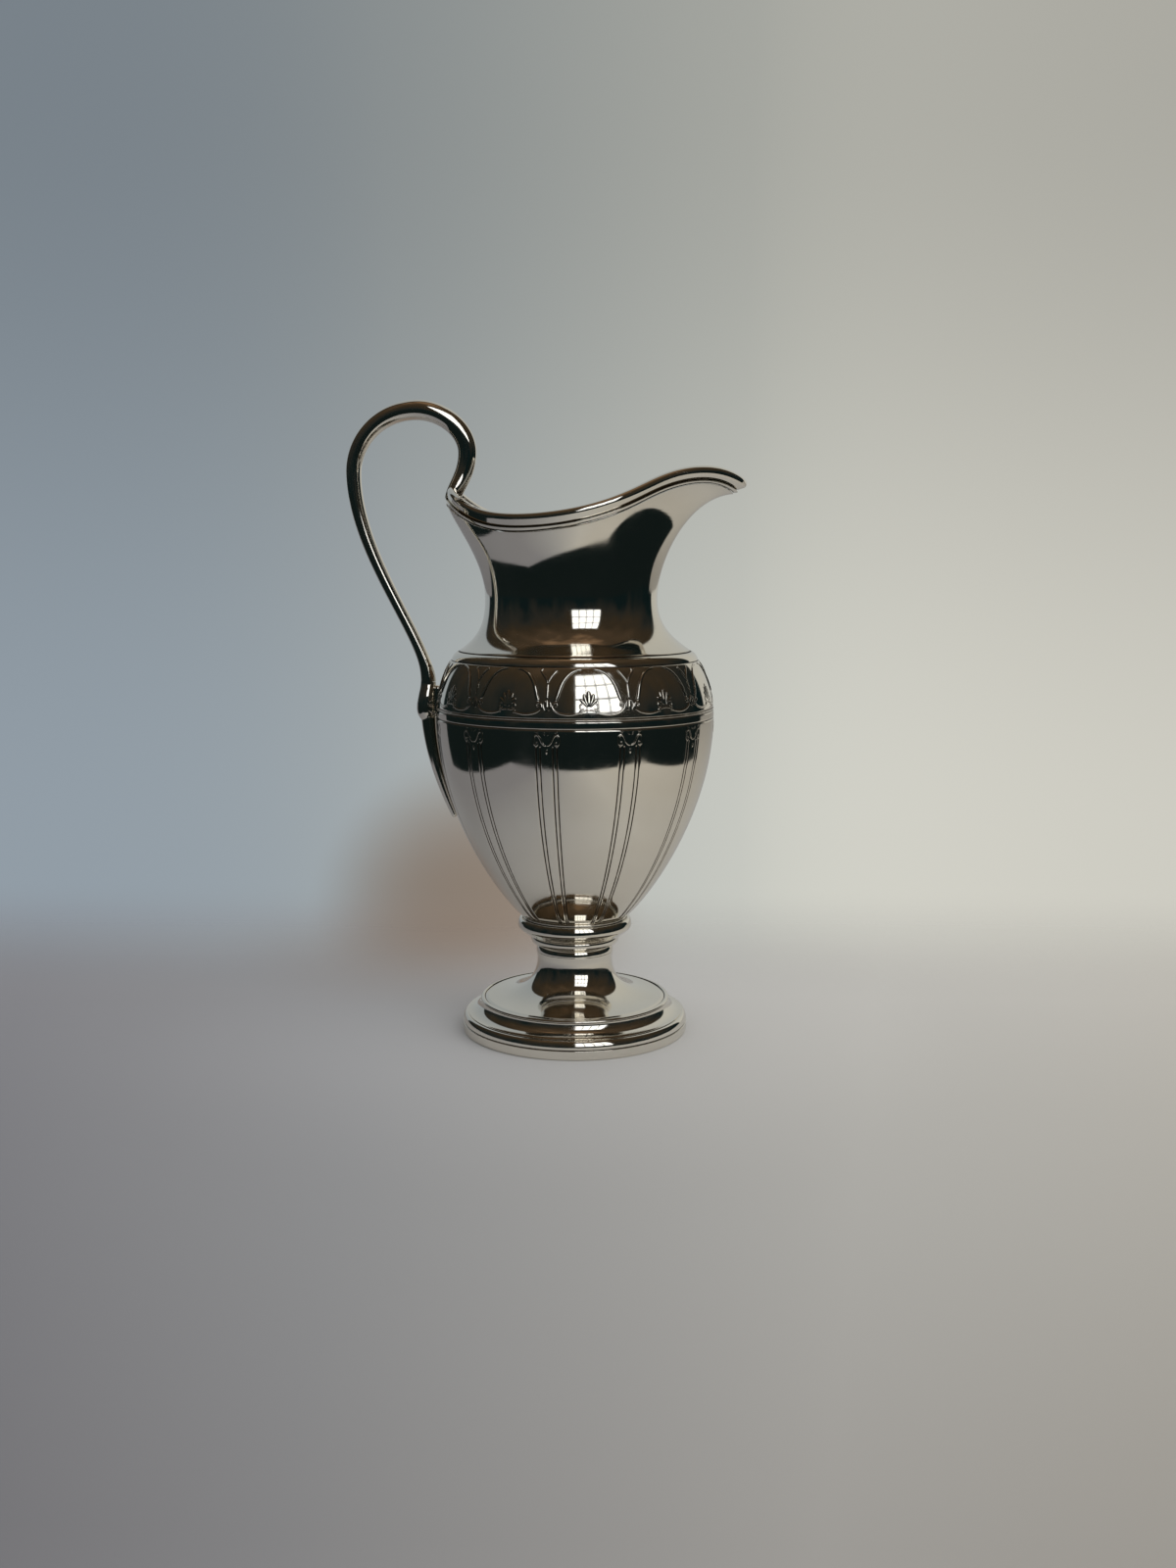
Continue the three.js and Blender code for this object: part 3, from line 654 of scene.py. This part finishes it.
def neck_wall(inset, at_joint, lower_steps, upper_steps):
    """One face of the neck: at each bearing, a Bezier curve from the neckline to the waist and another from
    the waist to the lip, where it arrives at the flare's slope. Inset moves it in by the sheet's
    thickness."""
    edge = beside_lip(neck_bearings, -inset, 0)
    bearing = np.arctan2(edge[:, 1], edge[:, 0])
    edge = np.stack([np.hypot(edge[:, 0], edge[:, 1]), edge[:, 2]])
    flare, flare_length, above = lip(neck_bearings)[3:]
    level = np.zeros(len(bearing))
    narrow = np.stack([waist[0] - waist_set_back * np.cos(neck_bearings) - inset, waist[1] + level])
    start = np.stack([at_joint + level, neckline + level])
    sprung = start + spring_length * np.array([[np.cos(spring)], [np.sin(spring)]])
    from_below = narrow - [[0], [waist_length]]
    going_up = narrow + np.stack([level, above])
    turn_in = edge - flare_length * np.stack([np.sin(flare), np.cos(flare)])
    lower = curve(start.ravel(), sprung.ravel(), from_below.ravel(), narrow.ravel(), lower_steps)
    upper = curve(narrow.ravel(), going_up.ravel(), turn_in.ravel(), edge.ravel(), upper_steps)
    radius, height = np.vstack([lower, upper[1:]]).reshape(-1, 2, len(bearing)).transpose(1, 0, 2)
    return np.stack([radius * np.cos(bearing), radius * np.sin(bearing), height], axis=2)


outer = neck_wall(0, neckline_radius, 42, 62)
joint = np.exp(-(((outer[:, :1, 2] - neckline) / 0.35) ** 2))
outer[..., :2] *= 1 - 0.3 * joint[..., None] / neckline_radius
inner = neck_wall(sheet, neckline_radius - 1.6, 24, 40)[::-1]
stains = np.vstack([0.8 * joint, np.zeros((len(inner), 1))])
lined = np.arange(len(stains))[:, None] >= len(outer)
neck = grid(np.concatenate([outer, inner]), hollow=stains, inside=lined)
fitted("neck_and_spout", [neck], spun_silver, "neck")

# Rim wire: a drawn wire of a bead over a reed, both cut away beneath, bent round the whole lip and soldered
# to it. At the spout it leans outwards over the tip. At the back it climbs and leans in to the handle, and
# its bead is filed thinner there to take the handle's root.
solder = 0.3
rim_height, rim_back = 7.3 + solder, 2.2
bead_foot = rim_height - 5.2
bead_middle = bead_foot + 2.6
bead_out = 1.9
rim_outline = np.vstack([
    (-rim_back, solder),
    (-0.2, solder),
    (-0.35, 0.35 + solder),
    (0.1, 0.4 + solder),
    (0.9, 1.35 + solder),
    quarter((1.0, 1.5 + solder), (0.0, 1.75 + solder), False),
    (-0.35, bead_foot - 0.1),
    (0.25, bead_foot + 0.1),
    (bead_out - 0.15, bead_middle),
    quarter((bead_out, bead_middle + 0.5), (0, rim_height), False),
    (-rim_back + 1.1, rim_height),
    (-rim_back, rim_height - 1.1),
])
rim_profile, rim_hollow = softened(rim_outline, 0.1, 110)
drawn_silver = silver("drawn_silver", ring_lines=0.2, smudges=0.7, line_depth=0.00001)
filed_reach, filed_share = 6, 0.6
at_handle = np.exp(-((lip_plan(neck_bearings)[1] / filed_reach) ** 2)) * (np.cos(neck_bearings) < 0)
rim_out, rim_up = rim_profile[:, :1], rim_profile[:, 1:]
in_bead = np.clip((rim_up - bead_foot) / 0.6, 0, 1)
rim_out = rim_out - filed_share * at_handle * in_bead * np.clip(rim_out, 0, None)
rim = grid(beside_lip(neck_bearings, rim_out, rim_up), hollow=rim_hollow[:, None])
fitted("rim_wire", [rim], drawn_silver, "rim_moulding")

# Handle: a cast bar bent into an S off the back of the rim, over a high loop and down a long arm. It flares
# at its root, which is soldered over the rim's bead, narrows in the bend and widens over the loop's top.
rim_crest = beside_lip(np.pi, 0, rim_height)
root = np.array([rim_crest[0] - 0.4, rim_crest[2] - 5.2])
handle_low, handle_high = span("handle")
loop_back = np.array([handle_low[0] + 3.2, handle_high[2] - 30.5])
loop_top = loop_back + (27.2, 26.3)
loop_front = loop_top + (21.2, -17.5)
terminal_low, terminal_high = span("handle_terminal")
terminal_inside = terminal_high[0]
end_depth, end_width = 6.5, 7.0
arm_end = np.array([terminal_inside - end_depth / 2, terminal_high[2]])
stretches = [
    (root, root + (0.6, 5.0), loop_front - (0, 9.4), loop_front, 44),
    (loop_front, loop_front + (0, 9.2), loop_top + (11.3, 0), loop_top, 40),
    (loop_top, loop_top - (15.1, 0), loop_back + (0, 14.4), loop_back, 48),
    (loop_back, loop_back - (0, 34.2), arm_end + (0, 18), arm_end, 80),
]
path = np.vstack([curve(*stretch)[int(k > 0):] for k, stretch in enumerate(stretches)])
gone = np.r_[0, np.cumsum(np.hypot(*np.diff(path, axis=0).T))]
joins = np.cumsum([stretch[4] - 1 for stretch in stretches])
stations = np.r_[0, 4.5, 11.5, gone[joins[:-1]], gone[-1] - 22, gone[-1]]
depths = stroke(np.stack([stations, [7.0, 7.2, 7.5, 7.8, 8.38, 6.38, 4.8, end_depth]], axis=1), 300)[0]
widths = stroke(np.stack([stations, [9.4, 9.9, 7.2, 7.0, 9.6, 8.6, 6.8, end_width]], axis=1), 300)[0]
bar_depth = np.interp(gone, *depths.T)
bar_width = np.interp(gone, *widths.T)
section = np.arange(48) * 2 * np.pi / 48


def bar(path, depth, width, squareness, tuck=0.02, poles=8):
    """A bar along a path in the handle's plane: at each point an oval square to the path, depth in the
    plane and width across it, with the cosine and sine raised to a power, which squares the oval if less
    than 1. Both ends run on for the length of the tuck and are rounded off there to a pole."""
    heading = np.gradient(path, axis=0)
    heading /= np.hypot(*heading.T)[:, None]
    cosine, sine = np.cos(section), np.sin(section)
    in_plane = np.sign(cosine) * np.abs(cosine) ** squareness
    sideways = np.sign(sine) * np.abs(sine) ** squareness
    shrink = np.cos(np.linspace(0, np.pi / 2, poles))[1:, None]
    depth, width = depth[:, None], width[:, None]
    depth = np.vstack([depth[0] * shrink[::-1], depth, depth[-1] * shrink])
    width = np.vstack([width[0] * shrink[::-1], width, width[-1] * shrink])
    rise = tuck * np.sin(np.linspace(0, np.pi / 2, poles))[1:, None]
    centre = np.vstack([path[0] - rise[::-1] * heading[0], path, path[-1] + rise * heading[-1]])
    heading = np.pad(heading, ((poles - 1, poles - 1), (0, 0)), mode="edge")
    x = centre[:, :1] + depth / 2 * in_plane * heading[:, 1:]
    z = centre[:, 1:] - depth / 2 * in_plane * heading[:, :1]
    return np.stack([x, width / 2 * sideways, z], axis=2)


cast_silver = silver("cast_silver", ring_lines=0.0, smudges=1.0, line_depth=0.00001)
handle = grid(bar(path, bar_depth, bar_width, 0.95), closed=False)
fitted("loop_handle", [handle], cast_silver, "handle")

# Handle terminal and drop: the arm ends in a flared foot with a flat ledge, soldered to the shoulder, and a
# long tapered drop hangs below it, close over the bowl.
terminal_top, terminal_foot = terminal_high[2], terminal_low[2]
flare = [
    (0, end_depth), (3, 6.9), (6, 7.6), (9.3, 8.2),
    (11.8, 8.35), (13.1, 8.1), (14.3, 7.4), (15.2, 6.5),
]
terminal_drop, outside = stroke(flare, 60)[0].T
terminal_z = terminal_top - terminal_drop
body = np.vstack([bowl_profile[::-1, 1:3], shoulder_profile[1:, 1:3]])
terminal_path = np.stack([terminal_inside - outside / 2, terminal_z], axis=1)
spread = stroke([(0, end_width), (1.5, 7.15), (6.5, 9.5), (11.8, 9.75), (15.2, 8.6)], 60)[0]
terminal_width = np.interp(terminal_drop, *spread.T)
terminal = grid(bar(terminal_path, outside, terminal_width, 0.95), closed=False)
solder_z = np.linspace(terminal_top - 3, terminal_foot + 1.5, 30)
wall_x = -np.interp(solder_z, body[:, 1], body[:, 0])
solder_path = np.stack([(wall_x + terminal_inside) / 2, solder_z], axis=1)
solder_depth, solder_width = wall_x - terminal_inside + 2.4, np.full(len(solder_z), 5.0)
solder_fill = grid(bar(solder_path, solder_depth, solder_width, 1.0, 1.5), closed=False)
fitted("handle_terminal_cast", [terminal, solder_fill], cast_silver, "handle_terminal")

tail_low, tail_high = span("handle_tail")
levels = np.linspace(0, 1, 60)
tail_z = tail_high[2] + (tail_low[2] - tail_high[2]) * levels
tail_depth = 6.2 - 3.6 * levels**1.1
tail_width = 7.6 - 4.8 * levels**1.1
tail_inside = -(np.interp(tail_z, body[:, 1], body[:, 0]) + 0.6)
tail_path = np.stack([tail_inside - tail_depth / 2, tail_z], axis=1)
tail = grid(bar(tail_path, tail_depth, tail_width, 0.95, 1.2), closed=False)
fitted("handle_drop", [tail], cast_silver, "handle_tail")

# Stage: a pale floor that fades into the background, soft light from the front right, and a world that is
# pale to the camera. The floor is painted lighter to the right, towards the back and close round the
# pitcher, the background is painted darker to the left and upwards, and both carry a painted warm shadow
# behind the pitcher. In reflections the floor ends in front and at the sides of the pitcher, and the world
# is a dim studio with a pale backdrop behind and one paned softbox in front.
floor_mesh = bpy.data.meshes.new("floor")
floor_mesh.from_pydata([(-3, -3, 0), (3, -3, 0), (3, 3, 0), (-3, 3, 0)], [], [(0, 1, 2, 3)])
floor = bpy.data.objects.new("floor", floor_mesh)
bpy.context.scene.collection.objects.link(floor)
paper = bpy.data.materials.new("pale_floor")
paper.use_nodes = True
tree = paper.node_tree
shader = tree.nodes["Principled BSDF"]
shader.inputs["Roughness"].default_value = 0.9
spot = add(tree, "ShaderNodeTexCoord").outputs["Object"]
ground = add(tree, "ShaderNodeSeparateXYZ", {0: spot}).outputs
rays = add(tree, "ShaderNodeLightPath").outputs
ahead = maths(tree, "MAXIMUM", maths(tree, "ADD", ground["Y"], 0.75), 0.3)
bearing = maths(tree, "DIVIDE", maths(tree, "SUBTRACT", ground["X"], axis_x), ahead)
lit_side = maths(tree, "ADD", maths(tree, "MULTIPLY", bearing, 1.25), 0.5)
# Painted light: the floor's colour is painted lighter to the right of the pitcher and darker to its left,
# as the key light falls off across it.
painted_falloff_colours = [
    (0.08, (0.34, 0.34, 0.365)),
    (0.35, (0.445, 0.447, 0.455)),
    (0.72, (0.63, 0.615, 0.575)),
    (0.94, (0.6, 0.575, 0.52)),
]
# Painted shade: to the camera the floor is painted darker at the front and lighter towards the back.
painted_front_to_back = [
    (0.14, (0.7, 0.69, 0.69)),
    (0.3, (0.88, 0.88, 0.88)),
    (0.41, (1, 1, 1)),
    (0.55, (1.18, 1.18, 1.18)),
]


def tinted(tree, colour, tint):
    """A colour times another, channel by channel."""
    return add(tree, "ShaderNodeVectorMath", {0: colour, 1: tint}, operation="MULTIPLY").outputs["Vector"]


painted_depth_shade = ramp(tree, maths(tree, "ADD", ground["Y"], 0.5), painted_front_to_back)
painted_depth_shade = blended(tree, rays["Is Camera Ray"], (1, 1, 1, 1), painted_depth_shade)
lit = tinted(tree, ramp(tree, lit_side, painted_falloff_colours), painted_depth_shade)
# Painted light: the floor is painted up to 13 % brighter close round the pitcher's foot.
away = add(tree, "ShaderNodeVectorMath", {0: spot}, operation="LENGTH").outputs["Value"]
painted_glow_scale = {0: lit, "Scale": eased(tree, away, 0.05, 0.2, 1.13, 1.0)}
lit = add(tree, "ShaderNodeVectorMath", painted_glow_scale, operation="SCALE").outputs["Vector"]
# A painted shadow: a soft warm shade painted on the floor behind the pitcher, to its left.
shade_x, shade_y, shade_wide, shade_deep = -0.06, 0.2, 0.14, 0.2
shade_frame = {
    "Vector": spot,
    "Location": (-shade_x / shade_wide, -shade_y / shade_deep, 0),
    "Scale": (1 / shade_wide, 1 / shade_deep, 0),
}
to_shade = add(tree, "ShaderNodeMapping", shade_frame).outputs["Vector"]
from_shade = add(tree, "ShaderNodeVectorMath", {0: to_shade}, operation="LENGTH").outputs["Value"]
shade = eased(tree, from_shade, 0.0, 1.0, 1.0, 0.0)
painted_warm_shadow = tinted(tree, lit, (0.85, 0.66, 0.53))
tree.links.new(blended(tree, shade, lit, painted_warm_shadow), shader.inputs["Base Color"])
# The floor's end in reflections has a bowed front edge and two slanting side edges.
bow = maths(tree, "MULTIPLY", maths(tree, "MULTIPLY", ground["X"], ground["X"]), 0.78)
to_front = maths(tree, "SUBTRACT", bow, ground["Y"])
from_middle = maths(tree, "ABSOLUTE", maths(tree, "SUBTRACT", ground["X"], 0.03))
to_side = maths(tree, "SUBTRACT", from_middle, maths(tree, "MULTIPLY", ground["Y"], 0.25))
past_edge = maths(tree, "MAXIMUM", eased(tree, to_side, 0.36, 0.37), eased(tree, to_front, 0.305, 0.315))
from_axis = maths(tree, "ABSOLUTE", maths(tree, "SUBTRACT", ground["X"], axis_x))
to_rear = maths(tree, "SUBTRACT", ground["Y"], maths(tree, "MULTIPLY", from_axis, 0.8))
in_front = eased(tree, to_rear, -0.12, -0.08, 1.0, 0.0)
beyond = maths(tree, "MULTIPLY", maths(tree, "MULTIPLY", past_edge, in_front), rays["Is Glossy Ray"])
unlit = add(tree, "ShaderNodeEmission", {"Color": (0.006, 0.01, 0.01, 1)}).outputs["Emission"]
ended = add(tree, "ShaderNodeMixShader", {0: beyond, 1: shader.outputs["BSDF"], 2: unlit}).outputs["Shader"]
clear = add(tree, "ShaderNodeBsdfTransparent").outputs["BSDF"]
faint = maths(tree, "MAXIMUM", eased(tree, away, 0.45, 1.5), eased(tree, ground["Y"], 0.03, 0.3))
fade = maths(tree, "MULTIPLY", faint, rays["Is Camera Ray"])
faded = add(tree, "ShaderNodeMixShader", {0: fade, 1: ended, 2: clear})
tree.links.new(faded.outputs["Shader"], tree.nodes["Material Output"].inputs["Surface"])
floor_mesh.materials.append(paper)

world = bpy.data.worlds.new("studio")
bpy.context.scene.world = world
world.use_nodes = True
tree = world.node_tree
heading = add(tree, "ShaderNodeTexCoord").outputs["Generated"]
part = add(tree, "ShaderNodeSeparateXYZ", {"Vector": heading}).outputs
azimuth = maths(tree, "ARCTAN2", part["X"], maths(tree, "MULTIPLY", part["Y"], -1.0))
elevation = maths(tree, "ARCSINE", part["Z"])
behind = eased(tree, maths(tree, "ABSOLUTE", azimuth), np.radians(135), np.radians(137))
low_enough = eased(tree, elevation, np.radians(62), np.radians(66), 1.0, 0.0)
side = eased(tree, part["X"], -0.7, 0.7)
backdrop = ramp(tree, side, [(0.0, (0.3, 0.335, 0.36)), (1.0, (0.52, 0.515, 0.47))])
streaks = add(tree, "ShaderNodeMapping", {"Vector": heading, "Scale": (3.5, 3.5, 1.1)}).outputs["Vector"]
mottle = add(tree, "ShaderNodeTexNoise", {"Vector": streaks, "Scale": 1, "Detail": 3}).outputs["Fac"]
climb = maths(tree, "MULTIPLY", elevation, 2 / np.pi)
lifted = maths(tree, "ADD", climb, maths(tree, "MULTIPLY", maths(tree, "SUBTRACT", mottle, 0.5), 0.7))
dim_colours = [
    (0.0, (0.004, 0.01, 0.011)),
    (0.2, (0.02, 0.02, 0.017)),
    (0.45, (0.034, 0.025, 0.015)),
    (0.75, (0.062, 0.042, 0.025)),
    (1.0, (0.26, 0.16, 0.09)),
]
dim = ramp(tree, lifted, dim_colours)


def between(tree, value, low, high, soft):
    """1 where a value lies between two limits and 0 outside them, with soft edges."""
    rise = eased(tree, value, low - soft, low + soft)
    fall = eased(tree, value, high - soft, high + soft, 1.0, 0.0)
    return maths(tree, "MULTIPLY", rise, fall)


def repeated(tree, value, low, high, times):
    """A value's place between two limits, counted from 0 to 1 anew the given number of times."""
    share = maths(tree, "MULTIPLY", maths(tree, "SUBTRACT", value, low), times / (high - low))
    return maths(tree, "FRACT", share)


pane_left, pane_right, pane_low, pane_high = np.radians((3, 42, 11, 50))
pane_soft = np.radians(0.4)
wide = between(tree, azimuth, pane_left, pane_right, pane_soft)
tall = between(tree, elevation, pane_low, pane_high, pane_soft)
across_panes = between(tree, repeated(tree, azimuth, pane_left, pane_right, 4), 0.07, 0.93, 0.04)
up_panes = between(tree, repeated(tree, elevation, pane_low, pane_high, 3), 0.06, 0.94, 0.04)
panes = eased(tree, maths(tree, "MULTIPLY", across_panes, up_panes), 0.0, 1.0, 0.12, 1.0)
softbox = maths(tree, "MULTIPLY", maths(tree, "MULTIPLY", wide, tall), panes)
surround = blended(tree, maths(tree, "MULTIPLY", behind, low_enough), dim, backdrop)
glow = blended(tree, softbox, surround, (1.7, 1.75, 1.8, 1))
rays = add(tree, "ShaderNodeLightPath").outputs
# Painted light: to the camera the background is painted darker and bluer to the left, lighter to the right,
# and darker upwards from the horizon.
painted_falloff_sky_colours = [
    (0.0, (0.22, 0.262, 0.305)),
    (0.25, (0.28, 0.31, 0.32)),
    (0.65, (0.48, 0.485, 0.44)),
    (0.8, (0.525, 0.52, 0.47)),
    (1.0, (0.49, 0.48, 0.43)),
]
sky = ramp(tree, eased(tree, part["X"], -0.42, 0.38), painted_falloff_sky_colours)
sky.node.color_ramp.interpolation = "B_SPLINE"
painted_falloff_upwards = eased(tree, elevation, np.radians(-10), np.radians(16), 1.24, 0.82)
sky = add(tree, "ShaderNodeVectorMath", {0: sky, "Scale": painted_falloff_upwards}, operation="SCALE").outputs["Vector"]
# Painted shadow: the warm shadow behind the pitcher, to its left, is painted on the background there too.
to_shade = {0: heading, 1: (-0.109, 0.967, -0.2295)}
near_shade = add(tree, "ShaderNodeVectorMath", to_shade, operation="DOT_PRODUCT").outputs["Value"]
painted_warm_shadow = tinted(tree, sky, (0.62, 0.47, 0.38))
sky = blended(tree, eased(tree, near_shade, 0.9935, 1.0), sky, painted_warm_shadow)
fill = blended(tree, rays["Is Glossy Ray"], (0.47, 0.47, 0.47, 1), glow)
seen = blended(tree, rays["Is Camera Ray"], fill, sky)
tree.links.new(seen, tree.nodes["Background"].inputs["Color"])

key_data = bpy.data.lights.new("key_softbox", "AREA")
key_data.shape = "RECTANGLE"
key_data.size, key_data.size_y = 1.0, 1.0
key_data.energy = 4.2
key = bpy.data.objects.new("key_softbox", key_data)
bpy.context.scene.collection.objects.link(key)
key.location = (0.62, -0.5, 0.62)
key.rotation_euler = (np.radians(52), 0, np.radians(51))
key.visible_glossy = False

camera_data = bpy.data.cameras.new("camera")
camera_data.sensor_fit = "VERTICAL"
camera_data.sensor_height = 36
camera_data.sensor_width = 36
camera_data.lens = 35.1
camera_data.shift_x = 0.0084
camera = bpy.data.objects.new("camera", camera_data)
bpy.context.scene.collection.objects.link(camera)
camera.location = (axis_x + 0.0309, -0.6543, 0.204)
camera.rotation_euler = (np.radians(90 - 8.33), 0, np.radians(2.7))
bpy.context.scene.camera = camera
bpy.context.scene.view_settings.view_transform = "Standard"
